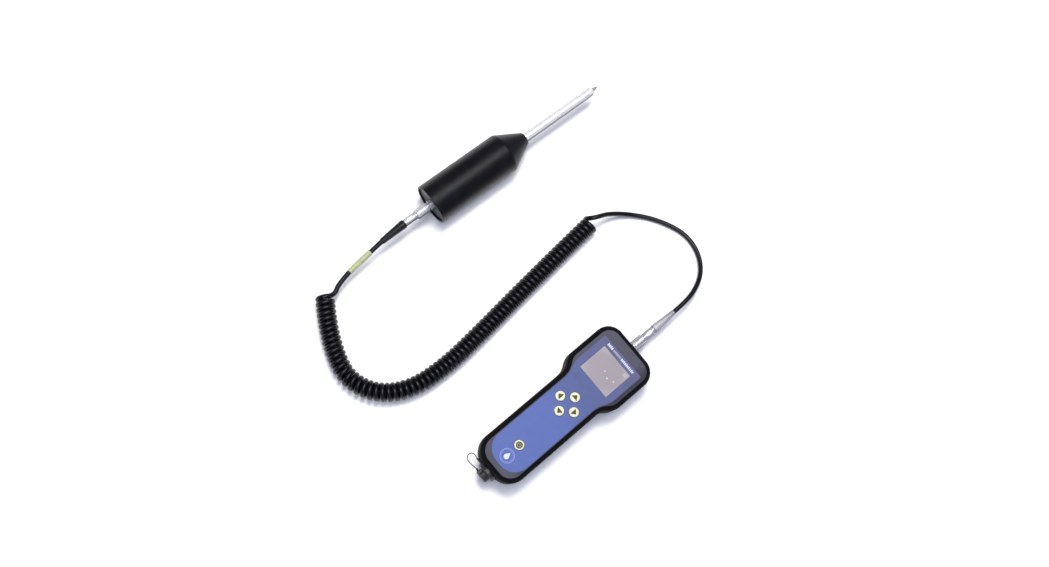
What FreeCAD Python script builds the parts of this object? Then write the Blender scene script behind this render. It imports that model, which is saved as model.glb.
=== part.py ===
import FreeCAD, Part
import math
import os

import Sketcher
from FreeCAD import Placement, Rotation, Vector

# Handheld grain moisture meter with a coiled lead and a short rod probe, in millimetres.
# +Y runs along the meter towards its display end, +X to its right and +Z out of its face.
# The origin is the middle of the flat back that the meter rests on.
# The probe and the coiled lead lie on the same surface, to the meter's left.

SIZES = {
    # plan outline of the case: a slim grip that widens into the display head
    "case_tail_end": 97.5,
    "case_display_end": 96.2,
    "grip_half_width": 27.8,
    "head_half_width": 37.0,
    "tail_corner": 19.5,
    "head_corner": 17.5,
    "neck_start": 19.0,
    "neck_end": 44.5,
    # heights above the resting surface
    "parting_height": 24.0,
    "lid_underside": 30.4,
    "face_height": 32.8,
    "rim_height": 33.4,
    "board_height": 19.0,
    "socket_height": 16.0,
    "floor_thick": 2.6,
    "wall": 2.4,
    # rubber bumper
    "bumper_wall": 2.6,
    "bumper_lift": 0.3,
    "bumper_lip": 4.9,
    "bumper_foot": 9.0,
    "bumper_top_round": 6.0,
    "bumper_base_round": 4.5,
    # face: label, window and keys
    "overlay_thick": 0.5,
    "overlay_half_grip": 21.9,
    "overlay_half_head": 28.0,
    "overlay_tail": 87.0,
    "overlay_top": 80.0,
    "overlay_corner": 18.5,
    "window_half_width": 20.0,
    "window_low": 38.4,
    "window_high": 72.0,
    "key_radius": 5.2,
    "key_pitch": 10.6,
    "key_centre": 3.3,
    "power_key_place": -60.0,
    "key_stand": 1.2,
    "key_gap": 0.2,
    # battery bay in the back
    "bay_half_width": 16.8,
    "bay_low": -72.0,
    "bay_high": -14.0,
    "cell_radius": 7.2,
    "cell_length": 49.2,
    "door_thick": 1.8,
    # circular push-pull connectors
    "boss_radius": 7.2,
    "flange_radius": 6.9,
    "flange_thick": 1.2,
    "panel_thread": 4.5,
    "nose_radius": 3.45,
    "socket_depth": 13.2,
    "running_gap": 0.05,
    "sleeve_radius": 5.3,
    "sleeve_start": 2.2,
    "sleeve_end": 17.2,
    "core_radius": 3.9,
    "nut_start": 18.8,
    "nut_end": 32.2,
    "relief_end": 61.4,
    "boot_end": 62.4,
    # tail socket and its cap
    "tail_thread": 5.6,
    "tail_collar_radius": 10.7,
    "cap_radius": 6.9,
    # lead
    "cord_radius": 2.65,
    "coil_radius": 10.1,
    "wire_radius": 0.42,
    # probe
    "probe_radius": 22.4,
    "probe_length": 97.0,
    "probe_nose_end": 125.7,
    "probe_nose_radius": 7.0,
    "probe_rim": 2.4,
    "probe_recess": 2.0,
    "rod_radius": 4.9,
    "rod_end": 219.1,
    "tip_end": 228.0,
    "probe_yaw": 2.0,
}

# Where the probe's rear rim lies, in plan, and the points of the free cords' routes
PROBE_REAR = (-247.3, 29.2)
METER_LEAD = [
    (0, 157.6, 16),
    (0, 176, 15),
    (-3.6, 195.5, 11),
    (-13, 214.5, 6.5),
    (-30.7, 227.4, 3.2),
    (-53, 230.5, 2.65),
    (-73.2, 223.5, 2.65),
    (-92.2, 212.1, 2.8),
    (-108.5, 198.5, 3.8),
    (-119.5, 184, 7.5),
    (-126, 171, 13),
    (-129.5, 163, 16.6),
    (-133.2, 155.9, 17.9),
]
COIL = [
    (-242.4, -112.2, 10.1),
    (-221, -126.4, 10.1),
    (-189.7, -141.1, 10.1),
    (-160.1, -148.3, 10.1),
    (-129, -134.2, 10.1),
    (-111, -103.3, 10.1),
    (-107.8, -60, 10.1),
    (-111.8, -15, 10.1),
    (-117, 32, 10.1),
    (-121.4, 76, 10.1),
    (-125.2, 116, 10.1),
    (-128.6, 155.9, 10.1),
]
PROBE_LEAD = [
    (-248.2, -34.5, 20.3),
    (-246.9, -50.5, 18.6),
    (-245.7, -66, 16.9),
    (-244.2, -81, 15.8),
    (-241.4, -95, 15.9),
    (-238.4, -107.4, 17),
]
TETHER = [
    (-16.8, -98.6, 16),
    (-19.2, -98.2, 16),
    (-22.15, -98.0, 16),
    (-24.9, -100.5, 16),
    (-24.9, -104.25, 16),
    (-22.15, -107, 16),
    (-17.8, -107, 16),
    (-13.2, -106.4, 16),
    (-9, -105.6, 16),
]

LAMP = (20.3, 87.6)
CASE_SCREWS = [(-12, -80), (12, -80), (-14, -8), (14, -8), (-14, 84), (14, 84)]
BOARD_SCREWS = [(-13, 20), (13, 20), (-27.8, 48), (27.8, 48), (-27.8, 73), (27.8, 73)]

doc = FreeCAD.newDocument("grain_moisture_meter")
sheet = doc.addObject("Spreadsheet::Sheet", "sizes")
for line, (alias, value) in enumerate(SIZES.items(), start=1):
    sheet.set(f"A{line}", alias)
    sheet.set(f"B{line}", str(value))
    sheet.setAlias(f"B{line}", alias)
doc.recompute()


class Measure(float):
    """A length that remembers the spreadsheet formula that it came from."""

    def __new__(cls, value, formula):
        number = super().__new__(cls, value)
        number.formula = formula
        return number

    def __add__(self, other):
        return Measure(float(self) + float(other), f"({self.formula} + {formula_of(other)})")

    def __radd__(self, other):
        return Measure(float(other) + float(self), f"({formula_of(other)} + {self.formula})")

    def __sub__(self, other):
        return Measure(float(self) - float(other), f"({self.formula} - {formula_of(other)})")

    def __rsub__(self, other):
        return Measure(float(other) - float(self), f"({formula_of(other)} - {self.formula})")

    def __mul__(self, other):
        return Measure(float(self) * float(other), f"({self.formula} * {formula_of(other)})")

    __rmul__ = __mul__

    def __neg__(self):
        return Measure(-float(self), f"(0 - {self.formula})")


def formula_of(number):
    """The text that stands for a number in a document expression."""
    return getattr(number, "formula", repr(float(number)))


class Sizes:
    """Attribute access to the spreadsheet, one Measure for each alias."""

    def __getattr__(self, alias):
        return Measure(sheet.get(alias), f"sizes.{alias}")


S = Sizes()
sub_parts = []


# ---------------------------------------------------------------- document helpers

def bind(thing, target, number):
    """Tie a property to the spreadsheet when its number came from there."""
    if isinstance(number, Measure):
        thing.setExpression(target, number.formula)


def locate(thing, place):
    """Give a sub-part its Placement: a point bound to the sheet, or a whole Placement."""
    if isinstance(place, Placement):
        thing.Placement = place
        return
    thing.Placement = Placement(Vector(*[float(number) for number in place]), Rotation())
    for letter, number in zip("xyz", place):
        bind(thing, f"Placement.Base.{letter}", number)


def new_body(label, place=(0, 0, 0)):
    """A PartDesign body that is one sub-part."""
    body = doc.addObject("PartDesign::Body", label)
    body.Label = label
    locate(body, place)
    sub_parts.append(body)
    return body


def new_shape(label, shape, place=None):
    """A sub-part whose shape Part's functions make directly."""
    feature = doc.addObject("Part::Feature", label)
    feature.Label = label
    feature.Shape = shape
    if place is not None:
        feature.Placement = place
    sub_parts.append(feature)
    return feature


def new_sketch(body, role, height=0.0):
    """A sketch on one of the body's own origin planes, lifted along its normal."""
    plane = next(item for item in body.Origin.OriginFeatures if item.Role == role)
    sketch = body.newObject("Sketcher::SketchObject", f"{body.Name}_sketch")
    sketch.AttachmentSupport = (plane, [""])
    sketch.MapMode = "FlatFace"
    sketch.AttachmentOffset = Placement(Vector(0, 0, float(height)), Rotation())
    bind(sketch, "AttachmentOffset.Base.z", height)
    return sketch


def draw_polygon(sketch, corners):
    """A closed polygon whose every corner is held by its distances from the origin."""
    first = sketch.GeometryCount
    count = len(corners)
    points = [Vector(float(x), float(y), 0) for x, y in corners]
    for index in range(count):
        sketch.addGeometry(Part.LineSegment(points[index], points[(index + 1) % count]), False)
    for index in range(count):
        following = first + (index + 1) % count
        sketch.addConstraint(Sketcher.Constraint("Coincident", first + index, 2, following, 1))
    for index, corner in enumerate(corners):
        for kind, number in zip(("DistanceX", "DistanceY"), corner):
            distance = Sketcher.Constraint(kind, -1, 1, first + index, 1, float(number))
            position = sketch.addConstraint(distance)
            bind(sketch, f"Constraints[{position}]", number)


def draw_box(sketch, low_x, high_x, low_y, high_y):
    """A rectangle between two corners."""
    draw_polygon(sketch, [(low_x, low_y), (high_x, low_y), (high_x, high_y), (low_x, high_y)])


def draw_circle(sketch, centre_x, centre_y, radius):
    """A circle held by its centre and radius."""
    centre = Vector(float(centre_x), float(centre_y), 0)
    circle = sketch.addGeometry(Part.Circle(centre, Vector(0, 0, 1), float(radius)), False)
    held = [
        (Sketcher.Constraint("DistanceX", -1, 1, circle, 3, float(centre_x)), centre_x),
        (Sketcher.Constraint("DistanceY", -1, 1, circle, 3, float(centre_y)), centre_y),
        (Sketcher.Constraint("Radius", circle, float(radius)), radius),
    ]
    for constraint, number in held:
        position = sketch.addConstraint(constraint)
        bind(sketch, f"Constraints[{position}]", number)


def pad(body, sketch, length):
    """Pad a sketch along its plane's normal."""
    feature = body.newObject("PartDesign::Pad", f"{body.Name}_pad")
    feature.Profile = sketch
    feature.Length = float(length)
    bind(feature, "Length", length)
    doc.recompute()
    return feature


def pocket(body, sketch, depth):
    """Cut a sketch down from its height against the normal, and check that it cuts."""
    before = body.Shape.Volume
    feature = body.newObject("PartDesign::Pocket", f"{body.Name}_pocket")
    feature.Profile = sketch
    feature.Length = float(depth)
    bind(feature, "Length", depth)
    doc.recompute()
    if body.Shape.Volume >= before:
        raise RuntimeError(f"{body.Label}: a pocket cuts nothing")
    return feature


def turn(body, stations):
    """Revolve (along, radius) stations about the body's own Y axis."""
    sketch = new_sketch(body, "XY_Plane")
    draw_polygon(sketch, [(radius, along) for along, radius in stations])
    feature = body.newObject("PartDesign::Revolution", f"{body.Name}_turned")
    feature.Profile = sketch
    feature.ReferenceAxis = (sketch, ["V_Axis"])
    feature.Angle = 360
    doc.recompute()
    return feature


def repeat_round(body, feature, count, axis="Y_Axis"):
    """Repeat a feature evenly round one of the body's origin axes."""
    before = body.Shape.Volume
    line = next(item for item in body.Origin.OriginFeatures if item.Role == axis)
    pattern = body.newObject("PartDesign::PolarPattern", f"{body.Name}_pattern")
    pattern.Originals = [feature]
    pattern.Axis = (line, [""])
    pattern.Angle = 360
    pattern.Occurrences = count
    body.Tip = pattern
    doc.recompute()
    if body.Shape.Volume == before:
        raise RuntimeError(f"{body.Label}: a pattern changes nothing")
    return pattern


def dress(body, kind, edges, amount):
    """Fillet or chamfer named edges of the body's latest feature."""
    feature = body.newObject(f"PartDesign::{kind}", f"{body.Name}_{kind.lower()}")
    feature.Base = (body.Tip if body.Tip != feature else feature.BaseFeature, edges)
    target = "Radius" if kind == "Fillet" else "Size"
    setattr(feature, target, float(amount))
    bind(feature, target, amount)
    doc.recompute()
    return feature


def edges_at_height(body, height):
    """Names of the edges that lie wholly at one height in the body's frame."""
    names = []
    for index, edge in enumerate(body.Tip.Shape.Edges, start=1):
        box = edge.BoundBox
        if abs(box.ZMin - height) < 1e-3 and abs(box.ZMax - height) < 1e-3:
            names.append(f"Edge{index}")
    return names


def copies(shape, places):
    """Separate copies of one solid, as the single node of an identical group."""
    return Part.makeCompound([shape.copy().translate(Vector(*place)) for place in places])


def cylinder_y(radius, start, end, x=0.0, z=0.0):
    """A solid cylinder along Y."""
    base = Vector(float(x), float(start), float(z))
    return Part.makeCylinder(float(radius), float(end) - float(start), base, Vector(0, 1, 0))


def cylinder_z(radius, low, high, x=0.0, y=0.0):
    """A solid cylinder along Z."""
    base = Vector(float(x), float(y), float(low))
    return Part.makeCylinder(float(radius), float(high) - float(low), base)


def block(low, high):
    """A solid box between two corners."""
    span = [float(top) - float(bottom) for bottom, top in zip(low, high)]
    return Part.makeBox(*span, Vector(*[float(number) for number in low]))


# ---------------------------------------------------------------- plan outlines

def shoulder_outline(inset, grip, head, tail_end, head_end, tail_round, head_round):
    """Curves of a slim body with a wider head, anticlockwise, moved inwards by inset.

    Two equal arcs make each shoulder, so its radius follows from the rise and the step.
    """
    rise = S.neck_end - S.neck_start
    step = head - grip
    bend = (rise * rise + step * step) / (4 * step)
    sweep = math.asin(rise / (2 * bend))
    tail_centre = (grip - tail_round, tail_round - tail_end)
    head_centre = (head - head_round, head_end - head_round)

    def arc(centre, radius, start, end):
        circle = Part.Circle(Vector(centre[0], centre[1], 0), Vector(0, 0, 1), radius)
        return Part.ArcOfCircle(circle, start, end)

    def line(start, end):
        return Part.LineSegment(Vector(*start, 0), Vector(*end, 0))

    right = math.pi / 2
    curves = []
    for side in (1, -1):
        def span(centre, radius, start, end):
            if side == 1:
                return arc(centre, radius, start, end)
            return arc((-centre[0], centre[1]), radius, math.pi - end, math.pi - start)

        curves += [
            span(tail_centre, tail_round - inset, -right, 0),
            line((side * (grip - inset), tail_centre[1]), (side * (grip - inset), float(S.neck_start))),
            span((grip + bend, float(S.neck_start)), bend + inset, math.pi - sweep, math.pi),
            span((head - bend, float(S.neck_end)), bend - inset, -sweep, 0),
            line((side * (head - inset), float(S.neck_end)), (side * (head - inset), head_centre[1])),
            span(head_centre, head_round - inset, 0, right),
        ]
    curves.append(line((-tail_centre[0], inset - tail_end), (tail_centre[0], inset - tail_end)))
    curves.append(line((-head_centre[0], head_end - inset), (head_centre[0], head_end - inset)))
    return curves


def case_outline(inset):
    """The case's plan outline, moved inwards."""
    return shoulder_outline(
        float(inset), float(S.grip_half_width), float(S.head_half_width), float(S.case_tail_end),
        float(S.case_display_end), float(S.tail_corner), float(S.head_corner),
    )


def overlay_outline(inset):
    """The face label's plan outline, moved inwards."""
    return shoulder_outline(
        float(inset), float(S.overlay_half_grip), float(S.overlay_half_head),
        float(S.overlay_tail), float(S.overlay_top), float(S.overlay_corner), 2.0,
    )


def outline_pad(body, curves, low, length):
    """Pad plan curves upwards from a height."""
    sketch = new_sketch(body, "XY_Plane", low)
    sketch.addGeometry(curves, False)
    return pad(body, sketch, length)


def outline_pocket(body, curves, high, depth):
    """Cut plan curves downwards from a height."""
    sketch = new_sketch(body, "XY_Plane", high)
    sketch.addGeometry(curves, False)
    return pocket(body, sketch, depth)


def circles_pad(body, centres, radius, low, length):
    """Pad one circle at each centre upwards from a height, fused with the body."""
    sketch = new_sketch(body, "XY_Plane", low)
    for x, y in centres:
        draw_circle(sketch, x, y, radius)
    return pad(body, sketch, length)


def circles_pocket(body, centres, radius, high, depth):
    """Cut one circle at each centre downwards from a height."""
    sketch = new_sketch(body, "XY_Plane", high)
    for x, y in centres:
        draw_circle(sketch, x, y, radius)
    return pocket(body, sketch, depth)


def boxes_pocket(body, boxes, high, depth):
    """Cut rectangles downwards from a height."""
    sketch = new_sketch(body, "XY_Plane", high)
    for box in boxes:
        draw_box(sketch, *box)
    return pocket(body, sketch, depth)


def end_wall_hole(body, radius, start, depth):
    """Drill along +Y at the sockets' height."""
    sketch = new_sketch(body, "XZ_Plane", -start)
    draw_circle(sketch, 0.0, S.socket_height, radius)
    pocket(body, sketch, depth)


def end_wall_boss(body, radius, end, length):
    """Raise a round boss at the sockets' height, from end for length against +Y."""
    sketch = new_sketch(body, "XZ_Plane", -end)
    draw_circle(sketch, 0.0, S.socket_height, radius)
    pad(body, sketch, length)


# ---------------------------------------------------------------- case

def key_centres():
    """Plan centres of the five keys, by name."""
    return {
        "key_up": (0.0, S.key_centre + S.key_pitch),
        "key_down": (0.0, S.key_centre - S.key_pitch),
        "key_left": (-S.key_pitch, S.key_centre),
        "key_right": (S.key_pitch, S.key_centre),
        "key_power": (0.0, S.power_key_place),
    }


def make_bumper():
    """Rubber boot that wraps the case's sides, open over the face and the back."""
    body = new_body("rubber_bumper")
    height = S.rim_height - S.bumper_lift
    outline_pad(body, case_outline(0), S.bumper_lift, height)
    dress(body, "Fillet", edges_at_height(body, S.rim_height), S.bumper_top_round)
    dress(body, "Fillet", edges_at_height(body, S.bumper_lift), S.bumper_base_round)
    cavity_top = S.face_height - 1.6
    outline_pocket(body, case_outline(S.bumper_wall - 0.1), cavity_top, cavity_top - 2.9)
    outline_pocket(body, case_outline(S.bumper_lip), S.rim_height, 5.0)
    outline_pocket(body, case_outline(S.bumper_foot), 5.0, 5.0)
    hole = S.boss_radius + 0.1
    end_wall_hole(body, hole, S.case_display_end - 10, 11.0)
    end_wall_hole(body, hole, -S.case_tail_end - 1, 11.0)


def make_rear_shell():
    """Deep moulded tub: back panel, walls, screw bosses and the battery opening."""
    body = new_body("rear_shell")
    outline_pad(body, case_outline(S.bumper_foot + 0.2), 0.0, 4.0)
    outline_pad(body, case_outline(S.bumper_wall), 3.0, S.parting_height - 3.0)
    inner = S.bumper_wall + S.wall
    outline_pocket(body, case_outline(inner), S.parting_height, S.parting_height - 3.0 - S.floor_thick)
    circles_pad(body, CASE_SCREWS, 4.2, 4.0, S.parting_height - 4.0)
    circles_pad(body, BOARD_SCREWS, 2.6, 4.0, S.board_height - 4.0)
    circles_pocket(body, CASE_SCREWS, 1.7, S.parting_height, S.parting_height)
    circles_pocket(body, CASE_SCREWS, 3.1, 3.0, 3.0)
    circles_pocket(body, BOARD_SCREWS, 1.05, S.board_height, 6.0)
    inside = (0.2 - S.bay_half_width + 1.8, S.bay_half_width - 2.0, S.bay_low + 2, S.bay_high - 2)
    boxes_pocket(body, [inside], 6.0, 6.0)
    rebate = (-S.bay_half_width, S.bay_half_width, S.bay_low, S.bay_high)
    boxes_pocket(body, [rebate], 2.2, 2.2)
    seat = case_outline(S.bumper_wall + 1.5)
    outline_pocket(body, seat, S.parting_height, 1.7)
    outline_pocket(body, gasket_ring(0.05), S.parting_height, 0.75)
    end_wall_boss(body, S.boss_radius, S.case_display_end, 4.0)
    end_wall_boss(body, S.boss_radius, -S.case_tail_end + 4, 4.0)
    end_wall_hole(body, S.panel_thread + 0.1, S.case_display_end - 8, 9.0)
    end_wall_hole(body, S.tail_thread + 0.1, -S.case_tail_end - 1, 9.0)


def gasket_ring(gap):
    """Curves of the ring that the case gasket fills, widened each way by a gap."""
    middle = S.bumper_wall + 0.7
    return case_outline(middle - 0.4 - gap) + case_outline(middle + 0.4 + gap)


def make_front_shell():
    """Shallow lid with the face plate, a locating tongue and screw bosses."""
    body = new_body("front_shell")
    lid_height = S.face_height - 1.8 - S.parting_height
    outline_pad(body, case_outline(S.bumper_wall), S.parting_height, lid_height)
    outline_pad(body, case_outline(S.bumper_lip + 0.15), S.parting_height, S.face_height - S.parting_height)
    inner = S.bumper_wall + S.wall
    outline_pocket(body, case_outline(inner), S.lid_underside, S.lid_underside - S.parting_height)
    tongue = case_outline(S.bumper_wall + 1.6) + case_outline(inner)
    outline_pad(body, tongue, S.parting_height - 1.6, 2.0)
    circles_pad(body, CASE_SCREWS, 3.4, S.parting_height + 0.1, S.face_height - S.parting_height - 1.0)
    circles_pocket(body, CASE_SCREWS, 1.5, 29.6, 6.0)
    outline_pocket(body, overlay_outline(-0.1), S.face_height, S.overlay_thick)
    window = (
        -S.window_half_width - 0.1, S.window_half_width + 0.1,
        S.window_low - 0.1, S.window_high + 0.1,
    )
    boxes_pocket(body, [window], S.face_height, 4.0)
    circles_pocket(body, list(key_centres().values()), S.key_radius + S.key_gap, S.face_height, 4.0)
    circles_pocket(body, [LAMP], 1.3, S.face_height, 4.0)


def make_gasket():
    """Square-section rubber seal between the two shells."""
    body = new_body("case_gasket")
    outline_pad(body, gasket_ring(0), S.parting_height - 0.7, 0.7)


def make_overlay():
    """Printed polyester label over the face, pierced for the window and the keys."""
    body = new_body("face_overlay")
    outline_pad(body, overlay_outline(0), S.face_height - S.overlay_thick, S.overlay_thick)
    window = (
        -S.window_half_width - 0.1, S.window_half_width + 0.1,
        S.window_low - 0.1, S.window_high + 0.1,
    )
    boxes_pocket(body, [window], S.face_height, 1.0)
    circles_pocket(body, list(key_centres().values()), S.key_radius + S.key_gap, S.face_height, 1.0)


def make_display():
    """Clear window, liquid-crystal glass, its backlight and the frame that holds them."""
    middle = (S.window_low + S.window_high) * 0.5
    window = new_body("display_window")
    sketch = new_sketch(window, "XY_Plane", S.lid_underside)
    draw_box(sketch, -S.window_half_width, S.window_half_width, S.window_low, S.window_high)
    pad(window, sketch, S.face_height - S.lid_underside)

    def slab(label, half_width, half_length, low, height):
        body = new_body(label)
        outline = new_sketch(body, "XY_Plane", low)
        draw_box(outline, -half_width, half_width, middle - half_length, middle + half_length)
        pad(body, outline, height)
        return body

    floor = S.board_height + 1.6
    frame = slab("display_frame", 25.0, 22.0, floor, 9.2)
    opening = (-22.6, 22.6, middle - 19.6, middle + 19.6)
    boxes_pocket(frame, [opening], floor + 9.2, 7.6)
    slab("display_backlight", 22.4, 19.4, floor + 1.6, 5.0)
    slab("display_glass", 22.4, 19.4, floor + 6.6, 2.8)


def make_keys():
    """Five moulded keys, each a raised button with a hidden flange and a stem."""
    top = S.face_height + S.key_stand
    for label, (x, y) in key_centres().items():
        body = new_body(label, (x, y, 0.0))
        flange_top = S.lid_underside - 0.3
        levels = [(25.0, 1.6), (28.8, 6.2), (flange_top, S.key_radius), (top, None)]
        for (low, radius), (high, _) in zip(levels, levels[1:]):
            sketch = new_sketch(body, "XY_Plane", low)
            draw_circle(sketch, 0.0, 0.0, radius)
            pad(body, sketch, high - low)
        dress(body, "Fillet", edges_at_height(body, top), 0.5)


def make_board():
    """Circuit board with its switches, chips, sounder and screws."""
    board = new_body("main_board")
    sketch = new_sketch(board, "XY_Plane", S.board_height)
    neck, head = 16.0, 30.6
    corners = [(neck, -64.0), (neck, 44.0), (head, 44.0), (head, 76.0)]
    mirrored = [(-x, y) for x, y in reversed(corners)]
    draw_polygon(sketch, corners + mirrored)
    pad(board, sketch, 1.6)
    circles_pocket(board, CASE_SCREWS[2:4], 4.6, S.board_height + 1.6, 1.6)
    circles_pocket(board, BOARD_SCREWS, 1.25, S.board_height + 1.6, 1.6)

    surface = float(S.board_height) + 1.6
    switch = block((-3, -3, surface), (3, 3, 24.2))
    switch = switch.cut(cylinder_z(1.9, 22.4, 24.2))
    places = [(float(x), float(y), 0) for x, y in key_centres().values()]
    new_shape("key_switches", copies(switch, places))

    chips = [
        block((-7, -43, surface), (7, -29, surface + 1.4)),
        block((-4.5, -24, surface), (1.5, -19, surface + 1.5)),
        block((5, -26, surface), (10, -22, surface + 1.2)),
        block((-12, -50, surface), (-9, -42, surface + 2.0)),
    ]
    new_shape("board_chips", Part.makeCompound(chips))

    sounder = new_body("sounder", (9.5, -52.0, S.board_height + 1.6))
    base = new_sketch(sounder, "XY_Plane")
    draw_circle(base, 0.0, 0.0, 5.0)
    pad(sounder, base, 4.2)
    circles_pocket(sounder, [(0.0, 0.0)], 0.9, 4.2, 1.6)

    head_disc = cylinder_z(1.9, surface + 0.02, surface + 1.4)
    slot = block((-2, -0.25, surface + 0.8), (2, 0.25, surface + 1.4))
    screw = head_disc.fuse(cylinder_z(1.0, surface - 5.0, surface + 0.1)).cut(slot).removeSplitter()
    new_shape("board_screws", copies(screw, [(x, y, 0) for x, y in BOARD_SCREWS]))


def make_case_screws():
    """Cross-slotted screws that clamp the shells together from the back."""
    head_disc = cylinder_z(2.8, 0.8, 2.95)
    shank = cylinder_z(1.45, 2.9, 28.6)
    slots = block((-1.9, -0.35, 0.8), (1.9, 0.35, 1.8)).fuse(block((-0.35, -1.9, 0.8), (0.35, 1.9, 1.8)))
    screw = head_disc.fuse(shank).cut(slots).removeSplitter()
    new_shape("case_screws", copies(screw, [(x, y, 0) for x, y in CASE_SCREWS]))


def make_lamp():
    """Small light pipe at the head's right corner."""
    body = new_body("status_lamp", (*LAMP, 0.0))
    sketch = new_sketch(body, "XY_Plane", S.lid_underside - 1.0)
    draw_circle(sketch, 0.0, 0.0, 1.2)
    pad(body, sketch, S.face_height + 0.3 - S.lid_underside + 1.0)
    dress(body, "Fillet", edges_at_height(body, S.face_height + 0.3), 0.4)


def make_battery_bay():
    """Open tray over the cells, two cells, their contacts and the outside door."""
    outside = doc.addObject("Part::Box", "tray_outside")
    inside = doc.addObject("Part::Box", "tray_inside")
    low = S.floor_thick + 3.05
    for box, gap, top in ((outside, 0.0, S.board_height - 0.6), (inside, 1.2, S.board_height - 1.6)):
        width = S.bay_half_width * 2 - 1.0 - 2 * gap
        bottom = low if box is outside else low - 1.0
        sizes = {
            "Length": width,
            "Width": S.bay_high - S.bay_low - 2 * gap,
            "Height": top - bottom,
            "Placement.Base.x": -width * 0.5,
            "Placement.Base.y": S.bay_low + gap,
            "Placement.Base.z": bottom,
        }
        for target, number in sizes.items():
            bind(box, target, number)
    tray = doc.addObject("Part::Cut", "battery_tray")
    tray.Base = outside
    tray.Tool = inside
    tray.Label = "battery_tray"
    sub_parts.append(tray)

    cell_height = 10.2
    spacing = float(S.cell_radius) + 0.3
    start = float(S.bay_low) + 5.6
    end = start + float(S.cell_length)
    cell = cylinder_y(S.cell_radius, start, end)
    rims = [edge for edge in cell.Edges if edge.Closed and edge.Length > 1]
    cell = cell.makeFillet(0.6, rims)
    knob = cylinder_y(2.7, end - 0.1, end + 1.1)
    cell = cell.fuse(knob).removeSplitter()
    new_shape("battery_cells", copies(cell, [(-spacing, 0, cell_height), (spacing, 0, cell_height)]))

    contacts = []
    upright = Rotation(Vector(1, 0, 0), -90)
    for side in (-1, 1):
        helix = Part.makeHelix(1.0, 3.2, 3.0)
        ring = Part.Wire(Part.Circle(Vector(3.0, 0, 0), Vector(0, 1, 0), 0.25).toShape())
        coil = Part.Wire(helix).makePipeShell([ring], True, True)
        x = side * spacing
        coil.Placement = Placement(Vector(x, start - 3.6, cell_height), upright)
        contacts.append(coil)
        for y in (float(S.bay_low) + 1.25, float(S.bay_high) - 1.65):
            contacts.append(block((x - 5, y, cell_height - 4.4), (x + 5, y + 0.4, cell_height + 5)))
    new_shape("battery_contacts", Part.makeCompound(contacts))

    door = new_body("battery_door")
    sketch = new_sketch(door, "XY_Plane", 0.2)
    gap = 0.2
    draw_box(sketch, gap - S.bay_half_width, S.bay_half_width - gap, S.bay_low + gap, S.bay_high - gap)
    pad(door, sketch, S.door_thick)
    ribs = new_sketch(door, "XY_Plane", 0.2 + S.door_thick)
    for side in (-1, 1):
        draw_box(ribs, side * 13.9 - 0.6, side * 13.9 + 0.6, S.bay_low + 8, S.bay_high - 8)
    pad(door, ribs, 1.6)
    grips = [(-7.0, 7.0, S.bay_low + 5 + 2.4 * step, S.bay_low + 6.2 + 2.4 * step) for step in range(5)]
    boxes_pocket(door, grips, 0.7, 0.5)


# ---------------------------------------------------------------- connectors

def hexagon(radius):
    """Corners of a hexagon nut's outline."""
    bearings = [math.radians(60 * index) for index in range(6)]
    return [(radius * math.cos(bearing), radius * math.sin(bearing)) for bearing in bearings]


def make_panel_socket(prefix, place, flange, neck, wall):
    """Flanged receptacle, its hexagon nut and its contact insert; +Y leaves the panel.

    The flange is thicker by the neck, and the nut sits behind the wall that they clamp.
    """
    bore = S.nose_radius + S.running_gap
    thick = S.flange_thick
    shell = new_body(f"{prefix}_socket", place)
    turn(shell, [
        (-S.socket_depth, bore), (thick, bore), (thick, flange - 0.4), (thick - 0.4, flange),
        (-neck, flange), (-neck, S.panel_thread), (-S.socket_depth, S.panel_thread),
    ])
    nut = new_body(f"{prefix}_socket_nut", place)
    sketch = new_sketch(nut, "XZ_Plane", neck + wall)
    draw_polygon(sketch, hexagon(6.35))
    draw_circle(sketch, 0.0, 0.0, S.panel_thread + S.running_gap)
    pad(nut, sketch, 2.0)
    insert = new_body(f"{prefix}_socket_insert", place)
    rear = -S.socket_depth
    turn(insert, [(rear, 0.0), (-8.4, 0.0), (-8.4, S.nose_radius), (rear, S.nose_radius)])
    holes = new_sketch(insert, "XZ_Plane", 8.4)
    draw_circle(holes, 2.0, 0.0, 0.45)
    hole = body_pocket_forward(insert, holes, 3.0)
    repeat_round(insert, hole, 5)


def body_pocket_forward(body, sketch, depth):
    """Cut along the sketch's normal instead of against it."""
    before = body.Shape.Volume
    feature = body.newObject("PartDesign::Pocket", f"{body.Name}_pocket")
    feature.Profile = sketch
    feature.Reversed = True
    feature.Length = float(depth)
    bind(feature, "Length", depth)
    doc.recompute()
    if body.Shape.Volume >= before:
        raise RuntimeError(f"{body.Label}: a forward pocket cuts nothing")
    return feature


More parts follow.
